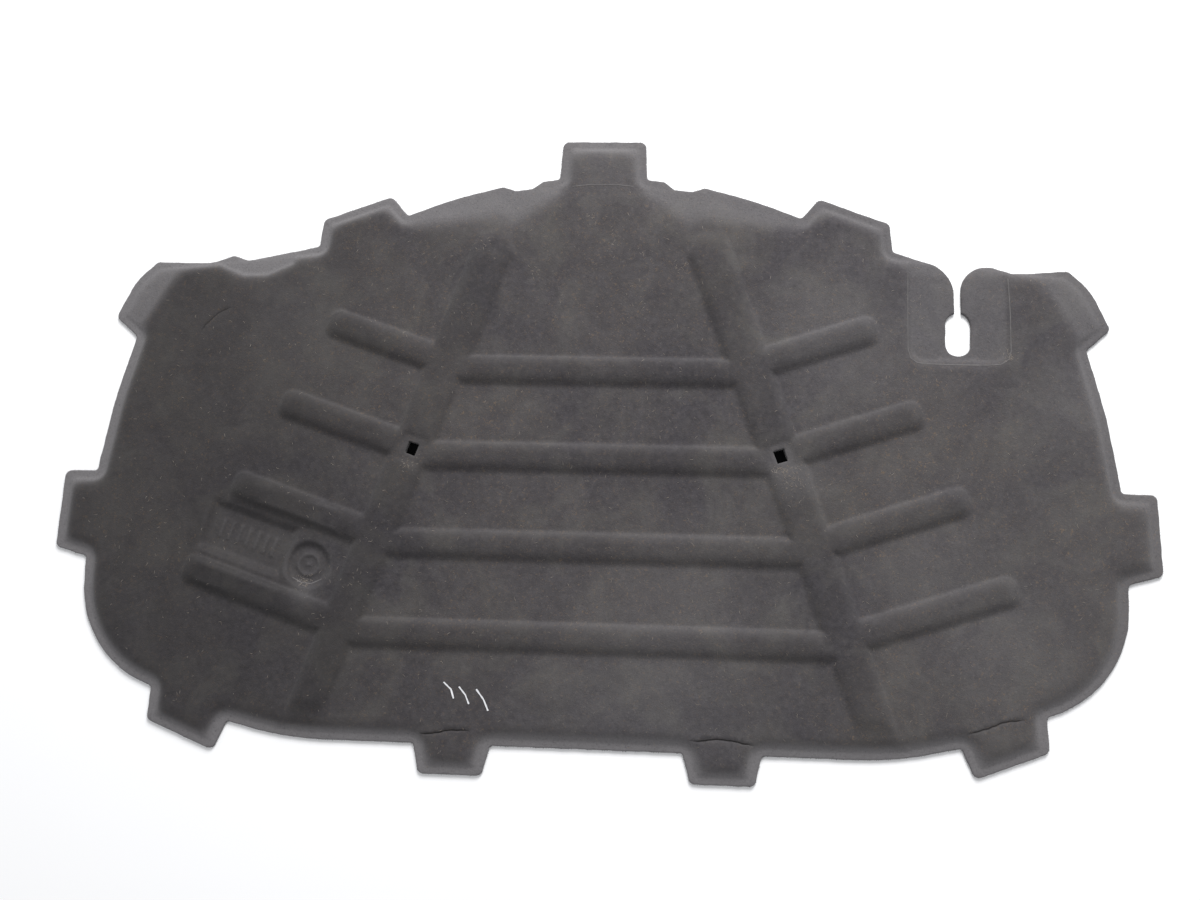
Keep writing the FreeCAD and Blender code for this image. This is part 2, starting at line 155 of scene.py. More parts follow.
# Loose fibres on the upper side: their sizes, and the middle, radius and count of each frayed place
LINT_COUNT = 1500
LINT_LENGTH = (1.0, 4.5)
LINT_HALF_WIDTH = (0.09, 0.2)
LINT_TAPER = (0.4, 1.0, 1.0, 0.9, 0.3)
LINT_LIFT = (0.1, 0.35)
LINT_CLUSTERS = (
    ((-300.0, -149.0), 8.0, 45), ((206.0, -28.0), 20.0, 90), ((192.0, -18.0), 9.0, 30),
    ((-196.0, -22.0), 10.0, 25), ((-225.0, -97.0), 16.0, 9), ((-247.0, -150.0), 16.0, 9),
    ((330.0, 150.0), 14.0, 25), ((426.0, 104.0), 8.0, 25), ((-11.0, 251.0), 10.0, 12),
    ((14.0, 225.0), 16.0, 14), ((86.0, 198.0), 9.0, 14), ((-124.0, 219.0), 14.0, 12),
    ((49.0, 208.0), 14.0, 9), ((35.0, 171.0), 22.0, 10), ((-71.0, 189.0), 12.0, 9), ((60.0, 60.0), 40.0, 18),
)
FIBRE_BEND = 0.5
FIBRE_KINK = 0.2

# Short fibres along the cut edge
FUZZ_COUNT = 1800
FUZZ_LENGTH = (0.6, 1.8)
FUZZ_ROOT = 0.4
FUZZ_FAN = 0.9
FUZZ_HEIGHT = (0.4, 1.8)
FUZZ_CLIMB = (0.0, 0.1, 0.2)
FUZZ_HALF_WIDTHS = (0.14, 0.12, 0.04)

# Plain chalk strokes
CHALK_STROKES = (
    ((-147, -246), (-139, -253), (-136, -262)),
    ((-131, -250), (-124, -258), (-120, -267)),
    ((-113, -252), (-105, -262), (-100, -273)),
)
CHALK_HALF_WIDTH = 0.8

# Pale lines: a crease across the front tab, and painted highlights on the lower lip of the round recess and
# round the slot's zone
CREASES_AND_HIGHLIGHTS = (
    ((-33, 285), (-12, 287), (14, 287), (33, 285.5)),
    ((-313, -144), (-304, -149), (-293, -150), (-282, -145)),
    ((324, 192), (323.5, 150), (323.5, 110), (326, 101), (333, 96), (345, 95)),
    ((345, 95), (370, 94.5), (405, 94.5), (418, 95.5), (426, 101), (428.5, 110)),
    ((428.5, 110), (428.5, 150), (427, 188)),
)
CREASE_AND_HIGHLIGHT_HALF_WIDTH = 0.5
STROKE_STEP = 1.5
STROKE_LEAST_PLACES = 8
STROKE_LIFT = 0.2
STROKE_WAVE = 4.0
STROKE_UNEVENNESS = 0.5

# Shares of full paleness or full darkness, for wear and dust and for painted light, painted highlights and
# painted shade
RIM_PALENESS = 0.58
FAR_RIM_PAINTED_LIGHT = 0.42
CREST_WEAR_AND_HIGHLIGHT = 0.25
FRONT_HIGHLIGHT = 0.14
RIGHT_PAINTED_LIGHT = 0.06
BACK_PALENESS = 0.35
CROWN_DARKENING = 0.2
LEFT_PAINTED_SHADE = 0.46
MARKS_DULLNESS = 0.9
SLOT_ZONE_DULLNESS = 0.4

# Levels, swell, slope and places at which each kind of wear, painted light and painted shade begins and is
# full
RIM_FADE = (RIM_LEVEL + 0.8, FIELD_LEVEL - 0.5)
FRONT_FADE = (FIELD_LEVEL - 2, FIELD_LEVEL + 1)
CROWN_FADE = (FIELD_LEVEL + 1.0, FIELD_LEVEL + 3.5)
CREST_SWELL = (0.12, 0.7)
SWELL_REACH = 3.0
FRONT_SLOPE = (0.25, 0.8)
FAR_LEFT = (100.0, -400.0)
FAR_REAR = (-150.0, -300.0)
SHADED_LEFT = (-50.0, -450.0)
LIT_RIGHT = (100.0, 450.0)

# Places where dust makes the felt paler: middle, radius and strength
PALE_SPOTS = (
    ((192.5, -6.0), 13.0, 0.45), ((206.0, -27.0), 22.0, 0.4), ((-192.5, -6.0), 13.0, 0.35),
    ((-300.0, -160.0), 14.0, 0.4), ((0.0, 318.0), 45.0, 0.25), ((250.0, 120.0), 70.0, 0.25),
    ((420.0, -190.0), 60.0, 0.18), ((330.0, -120.0), 60.0, 0.15), ((60.0, -255.0), 110.0, 0.2),
    ((100.0, -150.0), 80.0, 0.12), ((490.0, 60.0), 40.0, 0.2), ((-330.0, 140.0), 60.0, 0.15),
)

# Noise of the felt: features to the metre, octaves, roughness and distortion
SMUDGE_NOISE = (5.0, 4.0, 0.6, 0.8)
HAZE_NOISE = (13.0, 5.0, 0.6, 1.2)
PATCH_NOISE = (32.0, 5.0, 0.65, 0.5)
MOTTLE_NOISE = (170.0, 5.0, 0.65, 0.0)
FLECK_NOISE = (340.0, 3.0, 0.6, 1.5)
FINE_NOISE = (480.0, 4.0, 0.7, 0.6)
FIBRE_NOISE_SCALE = 130.0

# Values of the noise at which each layer begins and is full, and its share when full
SMUDGE_RANGE = (0.38, 0.62)
HAZE_RANGE = (0.45, 0.7)
PATCH_RANGE = (0.35, 0.68)
MOTTLE_RANGE = (0.3, 0.7)
FLECK_RANGE = (0.58, 0.67)
PALE_RANGE = (0.3, 0.7)
SPECK_RANGE = (0.6, 0.76)
PIT_RANGE = (0.42, 0.25)
SMUDGE_SHARE = 0.45
HAZE_SHARE = 0.55
PATCH_SHARE = 0.5
FLECK_SHARE = 0.75
FLECK_LEAST = 0.3
PALE_LEAST = 0.68
SPECK_SHARE = 0.5
PIT_SHARE = 0.45

# Colours
FELT_DARK = (0.0403, 0.0378, 0.0418)
FELT_LIGHT = (0.0721, 0.067, 0.0732)
SMUDGE_COLOUR = (0.0999, 0.0919, 0.0874)
HAZE_COLOUR = (0.107, 0.101, 0.0931)
PATCH_COLOUR = (0.0409, 0.0369, 0.0392)
FLECK_COLOUR = (0.142, 0.102, 0.0704)
PALE_COLOUR = (0.17, 0.163, 0.168)
SPECK_COLOUR = (0.182, 0.17, 0.159)
PIT_COLOUR = (0.0272, 0.025, 0.0261)
# Near black, mixed in for painted shade in the cracks and on the left, and for darker crowns
DARKENING_COLOUR = (0.0136, 0.0125, 0.0125)
LINT_COLOURS = ((0.165, 0.125, 0.09), (0.27, 0.255, 0.24))
FUZZ_COLOURS = ((0.0568, 0.0522, 0.0545), (0.114, 0.108, 0.108))
CHALK_COLOURS = ((0.55, 0.56, 0.58), (0.9, 0.9, 0.92))
# Pale lines of the front tab's crease and of painted highlights
CREASE_AND_HIGHLIGHT_COLOURS = ((0.085, 0.08, 0.081), (0.165, 0.157, 0.156))
FLOOR_COLOUR = (0.97, 0.97, 0.975)
# Near black, for the painted shadow below the clip holes
PAINTED_SHADOW_COLOUR = (0.012, 0.012, 0.013)
SKY_COLOUR = (0.97, 0.98, 1.0)

# Gloss and grain of the felt, fibres and stage
FELT_ROUGHNESS = 0.95
FELT_SPECULAR = 0.15
FELT_SHEEN = 0.13
FELT_SHEEN_ROUGHNESS = 0.5
FELT_BUMP = 0.7
FELT_BUMP_METRES = 0.0008
FIBRE_ROUGHNESS = 0.9
FLOOR_ROUGHNESS = 0.9
PAINTED_SHADOW_ROUGHNESS = 0.95
LOW_SPECULAR = 0.1

# Floor, and dark squares below the clip holes: a painted shadow that makes the holes look black
FLOOR_HALF = 6000.0
FLOOR_DROP = 0.4
CLIP_HOLE_PLACE = (192.5, -6.0)
CLIP_SHADOW_HALF = 16.0
CLIP_SHADOW_DROP = 0.3

# Soft light from the front, and the light all round
KEY_PLACE = (480, 2120, 1500)
KEY_AIM = (100, 0, 0)
KEY_SIZE = 1280
KEY_POWER = 92
SKY_STRENGTH = 0.58

# Camera, solved from the mirrored points of the outline in the photograph
CAMERA_PLACE = (87.5, -176.7, 1194.8)
CAMERA_TURN = (8.444, 3.687, 1.773)
LENS = 34.5
SENSOR = 36.0

rng = random.Random(SEED)


# Surface of the CAD pad

def cad_surface():
    """Corner places and triangles of the CAD pad, with corners at one place joined."""
    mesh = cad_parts["insulation_pad"].data
    places = np.empty(len(mesh.vertices) * 3)
    mesh.vertices.foreach_get("co", places)
    mesh.calc_loop_triangles()
    corners = np.empty(len(mesh.loop_triangles) * 3, dtype=np.int32)
    mesh.loop_triangles.foreach_get("vertices", corners)
    places = np.round(places.reshape(-1, 3) / MM, CORNER_DECIMALS)
    places, joined = np.unique(places, axis=0, return_inverse=True)
    return places, joined.ravel()[corners].reshape(-1, 3)


def area_of(loop):
    """Signed area inside a closed loop of places."""
    x, y = loop[:, 0], loop[:, 1]
    return 0.5 * float(np.sum(x * np.roll(y, -1) - np.roll(x, -1) * y))


def cut_edges(places, triangles):
    """Loops where the back meets upright walls, felt on their left: the outline first, then each hole."""
    a, b, c = (places[triangles[:, i]] for i in range(3))
    normal = np.cross(b - a, c - a)
    rise = normal[:, 2] / np.maximum(np.linalg.norm(normal, axis=1), TINY)
    upright = set()
    for i, j, k in triangles[np.abs(rise) < WALL_RISE]:
        upright.update(((i, j), (j, k), (k, i)))
    following = {}
    for i, j, k in triangles[rise < BACK_RISE]:
        for start, end in ((i, j), (j, k), (k, i)):
            if (end, start) in upright:
                following[end] = start
    loops = []
    while following:
        at, after = following.popitem()
        loop = [at]
        while after in following:
            loop.append(after)
            after = following.pop(after)
        loops.append(places[loop, :2])
    return sorted(loops, key=lambda loop: -abs(area_of(loop)))


def divided(loop):
    """The loop with more places on its long sides."""
    out = []
    for a, b in zip(loop, np.roll(loop, -1, axis=0)):
        count = max(1, math.ceil(float(np.linalg.norm(b - a)) / EDGE_STEP))
        out += [a + (b - a) * i / count for i in range(count)]
    return np.array(out)


def left_of(along):
    """Unit direction to the left of each of these directions."""
    along = along / np.maximum(np.linalg.norm(along, axis=1, keepdims=True), TINY)
    return np.stack([-along[:, 1], along[:, 0]], axis=1)


def inward_of(loop):
    """Unit direction into the felt at each place of a loop."""
    return left_of(np.roll(loop, -1, axis=0) - np.roll(loop, 1, axis=0))


# Height maps

places, triangles = cad_surface()
tree = BVHTree.FromPolygons(places.tolist(), triangles.tolist(), all_triangles=True)
low, high = places.min(0), places.max(0)
margin = MAP_MARGIN * CELL
grid_x = np.arange(low[0] - margin, high[0] + margin, CELL)
grid_y = np.arange(low[1] - margin, high[1] + margin, CELL)


def height_map(start, direction):
    """Height of the CAD surface over the grid, met from above or from below, and which cells have felt."""
    heights = np.full((len(grid_y), len(grid_x)), np.nan)
    for row, y in enumerate(grid_y):
        for column, x in enumerate(grid_x):
            hit = tree.ray_cast(Vector((x, y, start)), direction)[0]
            if hit is not None:
                heights[row, column] = hit.z
    return np.nan_to_num(heights, nan=0.0), ~np.isnan(heights)


def spread(field, sigma):
    """Gaussian blur of a grid, with sigma in millimetres."""
    reach = max(1, math.ceil(BLUR_SIGMAS * sigma / CELL))
    weights = np.exp(-0.5 * (np.arange(-reach, reach + 1) * CELL / sigma) ** 2)
    weights /= weights.sum()
    for axis in (0, 1):
        padded = np.pad(field, [(reach, reach) if i == axis else (0, 0) for i in (0, 1)])
        count = field.shape[axis]
        field = sum(w * np.take(padded, range(i, i + count), axis=axis) for i, w in enumerate(weights))
    return field


def blurred(field, sigma):
    """Blur that takes in the felt only, so that the cut edge keeps its height."""
    return spread(field * felt, sigma) / np.maximum(spread(felt.astype(float), sigma), LEAST_FELT)


def sampled(field, points):
    """Values of a grid at places between its cells."""
    across = np.clip((points[:, 0] - grid_x[0]) / CELL, 0, len(grid_x) - GRID_END)
    forward = np.clip((points[:, 1] - grid_y[0]) / CELL, 0, len(grid_y) - GRID_END)
    column, row = across.astype(int), forward.astype(int)
    right, front = across - column, forward - row
    rear_row = field[row, column] * (1 - right) + field[row, column + 1] * right
    front_row = field[row + 1, column] * (1 - right) + field[row + 1, column + 1] * right
    return rear_row * (1 - front) + front_row * front


def boxed(low_corner, high_corner):
    """The cells of the grid inside a box."""
    across = (grid_x > low_corner[0]) & (grid_x < high_corner[0])
    forward = (grid_y > low_corner[1]) & (grid_y < high_corner[1])
    return forward[:, None] & across[None, :]


def softened(heights):
    """Heights with round crowns and crisp feet, crisper at the marks and softer at the shoulders."""
    near_marks = spread(marks.astype(float), MARK_BLEND)
    soft = blurred(heights, CROWN_SOFTNESS) * (1 - near_marks) + blurred(heights, MARK_SOFTNESS) * near_marks
    shaped = blurred(np.minimum(heights, soft), FOOT_SOFTNESS)
    field = np.minimum(shaped, FIELD_LEVEL)
    return shaped + shoulders * (blurred(field, SHOULDER_SOFTNESS) - field)


def steepness(field):
    """Slope of a height map."""
    dy, dx = np.gradient(field, CELL)
    return np.hypot(dx, dy)


def busy_cells(heights):
    """The cells near slopes, where the net is fine."""
    return spread((steepness(heights) > BUSY_SLOPE).astype(float), BUSY_REACH) > BUSY_SHARE


def step(low_value, high_value, values):
    """Smooth rise from 0 to 1 between two values."""
    rise = np.clip((values - low_value) / (high_value - low_value), 0, 1)
    return rise * rise * (3 - 2 * rise)


raw_top, felt = height_map(RAY_START, Vector((0, 0, -1)))
raw_back, _ = height_map(-RAY_START, Vector((0, 0, 1)))
marks = boxed(MARKS_LOW, MARKS_HIGH)
shoulders = spread(boxed(SHOULDERS_LOW, SHOULDERS_HIGH).astype(float), SHOULDER_BLEND)
top_map = softened(raw_top)
back_map = blurred(raw_back, BACK_SOFTNESS)
swell_map = top_map - blurred(top_map, SWELL_REACH)
front_slope_map = -np.gradient(top_map, CELL)[0]
near_felt = felt.copy()
for shift in (-NEAR_FELT_CELLS, NEAR_FELT_CELLS):
    near_felt &= np.roll(felt, shift, axis=0) & np.roll(felt, shift, axis=1)


# Triangulation

def wander(point, size, offset):
    """Smooth noise at a place, for features of this size. Each use has an offset of its own."""
    return noise.noise(Vector((point[0] / size + offset, point[1] / size, offset)))


def ragged(loop):
    """A loop with the small waver of a cut felt edge."""
    inward = inward_of(loop)
    wave = np.array([wander(p, EDGE_WAVE, EDGE_WAVE_OFFSET) for p in loop])
    ripple = np.array([EDGE_RIPPLE_SHARE * wander(p, EDGE_RIPPLE, EDGE_RIPPLE_OFFSET) for p in loop])
    return loop + inward * (EDGE_WANDER * (wave + ripple))[:, None]


loops = [ragged(divided(loop)) for loop in cut_edges(places, triangles)]


def hexagonal(pitch, allowed):
    """Slightly shaken hexagonal net of places, kept where a grid allows."""
    found = []
    rows = int((grid_y[-1] - grid_y[0]) / (pitch * HEXAGON_ROW))
    columns = int((grid_x[-1] - grid_x[0]) / pitch)
    for row in range(rows):
        y = grid_y[0] + row * pitch * HEXAGON_ROW
        for column in range(columns):
            x = grid_x[0] + (column + 0.5 * (row % 2)) * pitch
            shift_x = rng.uniform(-NET_SHAKE, NET_SHAKE) * pitch
            shift_y = rng.uniform(-NET_SHAKE, NET_SHAKE) * pitch
            found.append((x + shift_x, y + shift_y))
    found = np.array(found)
    return found[sampled(allowed.astype(float), found) > WHOLLY]


def crack_lines():
    """Places along each crack, with the direction across it and how open it is there."""
    rows = []
    for opening, crack in CRACKS:
        crack = np.array(crack, float)
        total = np.linalg.norm(crack[-1] - crack[0])
        for a, b in zip(crack, crack[1:]):
            length = float(np.linalg.norm(b - a))
            count = max(1, round(length / CRACK_STEP))
            across = np.array([a[1] - b[1], b[0] - a[0]]) / length
            for i in range(count):
                place = a + (b - a) * i / count
                place = place + across * CRACK_WANDER * wander(place, CRACK_WAVE, CRACK_OFFSET)
                ends = min(np.linalg.norm(place - crack[0]), np.linalg.norm(place - crack[-1])) / total
                rows.append((*place, *across, opening * min(1.0, CRACK_END_RISE * ends + CRACK_END_OPENING)))
    return np.array(rows)


def close_to(x, y, points, reach):
    """Numbers of the points in a square round a place, and their distances from it."""
    across, forward = points[:, 0] - x, points[:, 1] - y
    close = np.flatnonzero((np.abs(across) < reach) & (np.abs(forward) < reach))
    return close, np.hypot(across[close], forward[close])


def away_from(points, others, distance):
    """The points that keep this distance from all the others."""
    keep = np.ones(len(points), bool)
    for x, y in others:
        close, gap = close_to(x, y, points, distance)
        keep[close] &= gap >= distance
    return points[keep]


def in_holes(points):
    """Which of the points lie inside one of the holes."""
    found = np.zeros(len(points), bool)
    for loop in loops[1:]:
        crossings = np.zeros(len(points), bool)
        for (ax, ay), (bx, by) in zip(loop, np.roll(loop, -1, axis=0)):
            if ay != by:
                spans = (points[:, 1] < ay) != (points[:, 1] < by)
                crossings ^= spans & (points[:, 0] < ax + (bx - ax) * (points[:, 1] - ay) / (by - ay))
        found |= crossings
    return found


def meshed(inside, inset_rings, extra):
    """Net over the felt through these places: its corners, how far each is inset, its faces and its rings."""
    points, distance, edges, rings = [], [], [], []
    for loop in loops:
        start = len(points)
        numbers = list(range(start, start + len(loop)))
        points += loop.tolist()
        distance += [0.0] * len(loop)
        edges += list(zip(numbers, numbers[1:] + numbers[:1]))
        rings.append(numbers)
    for inset in inset_rings:
        for loop in loops:
            points += (loop + inward_of(loop) * inset).tolist()
            distance += [inset] * len(loop)
    for more in (extra, inside):
        points += more.tolist()
        distance += [EDGE_ROUND] * len(more)
    given_places = [Vector(p) for p in points]
    made, _, faces, sources, _, _ = delaunay_2d_cdt(
        given_places, edges, [], INSIDE_WITHOUT_HOLES, JOIN_DISTANCE)
    new_number = {source: number for number, given in enumerate(sources) for source in given}
    distance = np.array([min((distance[s] for s in given), default=EDGE_ROUND) for given in sources])
    rings = [[new_number[number] for number in ring] for ring in rings]
    made = np.array([tuple(p) for p in made])
    faces = np.array([tuple(f) for f in faces])
    return made, distance, faces[~in_holes(made[faces].mean(1))], rings


cracks = crack_lines()
crack_lip = cracks[:, 2:4] * CRACK_HALF_WIDTH
crack_points = np.concatenate([cracks[:, :2], cracks[:, :2] + crack_lip, cracks[:, :2] - crack_lip])
busy = busy_cells(top_map)
inside = np.concatenate([
    hexagonal(FINE_STEP, near_felt & busy & ~marks),
    hexagonal(COARSE_STEP, near_felt & ~busy & ~marks),
    hexagonal(MARK_STEP, marks)])
inside = away_from(inside, crack_points, CRACK_CLEARANCE)
top_points, top_distance, top_faces, top_rings = meshed(inside, (INNER_RING, EDGE_ROUND), crack_points)

back_busy = busy_cells(back_map)
back_inside = np.concatenate([
    hexagonal(BACK_FINE_STEP, near_felt & back_busy), hexagonal(BACK_COARSE_STEP, near_felt & ~back_busy)])
back_points, back_distance, back_faces, back_rings = meshed(back_inside, (EDGE_ROUND,), np.empty((0, 2)))


# Heights, wear, painted light and painted shade at each place of the upper side

def rounding(distance, drop):
    """How far the surface falls towards the cut edge."""
    inset = np.clip(distance / EDGE_ROUND, 0, 1)
    return drop * (1 - np.sqrt(1 - (1 - inset) ** 2))


def uneven(points):
    """Soft lumps and grain of pressed felt."""
    lumps = np.array([LUMP_HEIGHT * wander(p, LUMP_SIZE, LUMP_OFFSET) for p in points])
    return lumps + np.array([GRAIN_HEIGHT * wander(p, GRAIN_SIZE, GRAIN_OFFSET) for p in points])


def crack_depth(points):
    """How far each place of the upper side lies down in a crack, from 0 to 1."""
    depth = np.zeros(len(points))
    for x, y, _, _, opening in cracks:
        close, gap = close_to(x, y, points, CRACK_REACH)
        depth[close] = np.maximum(depth[close], opening * (1 - step(CRACK_FLOOR, CRACK_LIP, gap)))
    return depth


cracked = crack_depth(top_points)
level = sampled(top_map, top_points)
top_x, top_y = top_points[:, 0], top_points[:, 1]
top_z = level - rounding(top_distance, EDGE_DROP)
top_z += uneven(top_points) * step(0.0, 1.0, top_distance / EDGE_ROUND)
top_z -= CRACK_DEPTH * cracked
back_z = sampled(back_map, back_points) + rounding(back_distance, BACK_DROP)

slot_zone = boxed(SLOT_ZONE_LOW, SLOT_ZONE_HIGH)
dull_map = spread(MARKS_DULLNESS * marks + SLOT_ZONE_DULLNESS * slot_zone, MARK_BLEND)
thin = (1 - step(*RIM_FADE, level)) * (1 - sampled(dull_map, top_points))
crisp = 1 - sampled(shoulders, top_points)
# Paler on convex crests: partly rubbed fibres, partly a painted highlight along edges that catch the light
rubbed_and_lit_crest = step(*CREST_SWELL, sampled(swell_map, top_points)) * crisp
# Paler on slopes that face the key light at the front: a painted highlight
lit_front_slope = step(*FRONT_SLOPE, sampled(front_slope_map, top_points)) * step(*FRONT_FADE, level) * crisp
crown = step(*CROWN_FADE, level)
far_side = np.maximum(step(*FAR_LEFT, top_x), step(*FAR_REAR, top_y))
# Field darker towards the left: painted shade, where less light falls
left_side = step(*SHADED_LEFT, top_x) * (1 - thin)
# Field paler towards the right: painted light, where more light falls
right_side = step(*LIT_RIGHT, top_x) * (1 - thin)

# The thin rim is truly paler; at the left and rear, where it faces away from the key light, it also gets
# painted light
pale = (RIM_PALENESS + FAR_RIM_PAINTED_LIGHT * far_side) * thin
pale += CREST_WEAR_AND_HIGHLIGHT * rubbed_and_lit_crest + FRONT_HIGHLIGHT * lit_front_slope + RIGHT_PAINTED_LIGHT * right_side
for (x, y), radius, strength in PALE_SPOTS:
    pale += strength * np.exp(-((top_x - x) ** 2 + (top_y - y) ** 2) / radius ** 2)
pale = np.clip(pale, 0, 1)
# Darker in the cracks and towards the left, both painted shade, and darker on the raised crowns
painted_shade_and_dark_crowns = np.clip(cracked + CROWN_DARKENING * crown + LEFT_PAINTED_SHADE * left_side, 0, 1)


# Pieces

def put_attribute(mesh, name, values):
    """Store one number for each corner of a mesh, for its material to read."""
    layer = mesh.attributes.new(name, "FLOAT", "POINT")
    layer.data.foreach_set("value", np.asarray(values, np.float32))


def mesh_object(name, points, faces):
    """Smooth-shaded object from places in millimetres."""
    mesh = bpy.data.meshes.new(name)
    corners = [tuple(p) for p in np.asarray(points) * MM]
    mesh.from_pydata(corners, [], [tuple(int(i) for i in f) for f in faces])
    mesh.polygons.foreach_set("use_smooth", [True] * len(mesh.polygons))
    mesh.update()
    made = bpy.data.objects.new(name, mesh)
    bpy.context.scene.collection.objects.link(made)
    return made


def pad_surface():
    """The closed pad: upper side, back, and the walls along the outline and holes."""
    points = np.concatenate([np.column_stack([top_points, top_z]), np.column_stack([back_points, back_z])])
    first_back = len(top_points)
    faces = [tuple(f) for f in top_faces]
    faces += [tuple(first_back + i for i in reversed(f)) for f in back_faces]
    for upper, lower in zip(top_rings, back_rings):
        for i in range(len(upper)):
            j = (i + 1) % len(upper)
            faces.append((first_back + lower[i], first_back + lower[j], upper[j], upper[i]))
    made = mesh_object("pad_felt", points, faces)
    # Paleness holds the thin rim, wear and dust with painted light and highlights; darkening holds painted
    # shade and darker crowns
    put_attribute(made.data, "pale", np.concatenate([pale, np.full(len(back_points), BACK_PALENESS)]))
    put_attribute(made.data, "painted_shade_and_dark_crowns", np.concatenate([painted_shade_and_dark_crowns, np.zeros(len(back_points))]))
    return made


pad = pad_surface()


# Material

def blank_material(name):
    """New material, with its graph of nodes and its shader."""
    material = bpy.data.materials.new(name)
    material.use_nodes = True
    return material, material.node_tree, material.node_tree.nodes["Principled BSDF"]


def node(graph, kind, **settings):
    """New shader node with its own settings, such as its operation."""
    made = graph.nodes.new(kind)
    for name, value in settings.items():
        setattr(made, name, value)
    return made


def felt_material():
    """Dark pressed felt: mottled charcoal with dust and flecks, paler where it is pressed thin or rubbed,
    with painted light and highlights, and painted shade in the cracks and on the left.
    """
    material, graph, shader = blank_material("felt")
    place = node(graph, "ShaderNodeTexCoord")

    def clouds(scale, detail, rough, distortion):
        made = node(graph, "ShaderNodeTexNoise")
        made.inputs["Scale"].default_value = scale
        made.inputs["Detail"].default_value = detail
        made.inputs["Roughness"].default_value = rough
        made.inputs["Distortion"].default_value = distortion
        graph.links.new(place.outputs["Object"], made.inputs["Vector"])
        return made.outputs["Fac"]

    def ranged(value, low_in, high_in, low_out=0.0, high_out=1.0):
        made = node(graph, "ShaderNodeMapRange")
        made.inputs["From Min"].default_value = low_in
        made.inputs["From Max"].default_value = high_in
        made.inputs["To Min"].default_value = low_out
        made.inputs["To Max"].default_value = high_out
        graph.links.new(value, made.inputs["Value"])
        return made.outputs["Result"]

    def times(a, b):
        made = node(graph, "ShaderNodeMath", operation="MULTIPLY", use_clamp=True)
        graph.links.new(a, made.inputs[0])
        graph.links.new(b, made.inputs[1])
        return made.outputs["Value"]

    def mixed(amount, a, b):
        made = node(graph, "ShaderNodeMix", data_type="RGBA")
        graph.links.new(amount, made.inputs["Factor"])
        for number, value in ((FIRST_COLOUR, a), (SECOND_COLOUR, b)):
            if isinstance(value, tuple):
                made.inputs[number].default_value = (*value, 1.0)
            else:
                graph.links.new(value, made.inputs[number])
        return made.outputs[MIXED_COLOUR]

    def wear_and_light(name):
        return node(graph, "ShaderNodeAttribute", attribute_name=name).outputs["Fac"]

    def share(value, full):
        return ranged(value, 0.0, 1.0, 0.0, full)

    smudge = ranged(clouds(*SMUDGE_NOISE), *SMUDGE_RANGE)
    haze = ranged(clouds(*HAZE_NOISE), *HAZE_RANGE)
    patch = ranged(clouds(*PATCH_NOISE), *PATCH_RANGE)
    mottle = ranged(clouds(*MOTTLE_NOISE), *MOTTLE_RANGE)
    fleck = ranged(clouds(*FLECK_NOISE), *FLECK_RANGE, 0.0, FLECK_SHARE)
    fine = clouds(*FINE_NOISE)
    colour = mixed(mottle, FELT_DARK, FELT_LIGHT)
    colour = mixed(share(smudge, SMUDGE_SHARE), colour, SMUDGE_COLOUR)
    colour = mixed(share(haze, HAZE_SHARE), colour, HAZE_COLOUR)
    colour = mixed(share(patch, PATCH_SHARE), colour, PATCH_COLOUR)
    colour = mixed(times(ranged(smudge, 0.0, 1.0, FLECK_LEAST, 1.0), fleck), colour, FLECK_COLOUR)
    # Paleness from the attribute: thin rim, wear and dust, with painted light and painted highlights
    colour = mixed(times(wear_and_light("pale"), ranged(fine, *PALE_RANGE, PALE_LEAST, 1.0)), colour, PALE_COLOUR)
    colour = mixed(ranged(fine, *SPECK_RANGE, 0.0, SPECK_SHARE), colour, SPECK_COLOUR)
    colour = mixed(ranged(fine, *PIT_RANGE, 0.0, PIT_SHARE), colour, PIT_COLOUR)
    # Darkening from the attribute: painted shade in cracks and on the left, and darker crowns
    colour = mixed(wear_and_light("painted_shade_and_dark_crowns"), colour, DARKENING_COLOUR)
    graph.links.new(colour, shader.inputs["Base Color"])
    shader.inputs["Roughness"].default_value = FELT_ROUGHNESS
    shader.inputs["Specular IOR Level"].default_value = FELT_SPECULAR
    shader.inputs["Sheen Weight"].default_value = FELT_SHEEN
    shader.inputs["Sheen Roughness"].default_value = FELT_SHEEN_ROUGHNESS
    bump = node(graph, "ShaderNodeBump")
    bump.inputs["Strength"].default_value = FELT_BUMP
    bump.inputs["Distance"].default_value = FELT_BUMP_METRES
    graph.links.new(fine, bump.inputs["Height"])
    graph.links.new(bump.outputs["Normal"], shader.inputs["Normal"])
    return material


pad.data.materials.append(felt_material())


# Loose fibres, chalk, creases and painted highlight lines

def fibre_material(name, colours):
    """Fibres, chalk, creases and painted highlight lines, each varying between two colours from place to
    place.
    """
    material, graph, shader = blank_material(name)
    place = node(graph, "ShaderNodeTexCoord")
    clouds = node(graph, "ShaderNodeTexNoise")
    clouds.inputs["Scale"].default_value = FIBRE_NOISE_SCALE
    mix = node(graph, "ShaderNodeMix", data_type="RGBA")
    mix.inputs[FIRST_COLOUR].default_value = (*colours[0], 1.0)
    mix.inputs[SECOND_COLOUR].default_value = (*colours[1], 1.0)
    graph.links.new(place.outputs["Object"], clouds.inputs["Vector"])
    graph.links.new(clouds.outputs["Fac"], mix.inputs["Factor"])
    graph.links.new(mix.outputs[MIXED_COLOUR], shader.inputs["Base Color"])
    shader.inputs["Roughness"].default_value = FIBRE_ROUGHNESS
    shader.inputs["Specular IOR Level"].default_value = LOW_SPECULAR
    return material


def above_felt(lift):
    """A function that gives the height of places this far above the upper side with its lumps."""
    return lambda points: sampled(top_map, points) + uneven(points) + lift


def fixed(heights):
    """A function that gives these heights, wherever the places are."""
    return lambda points: heights


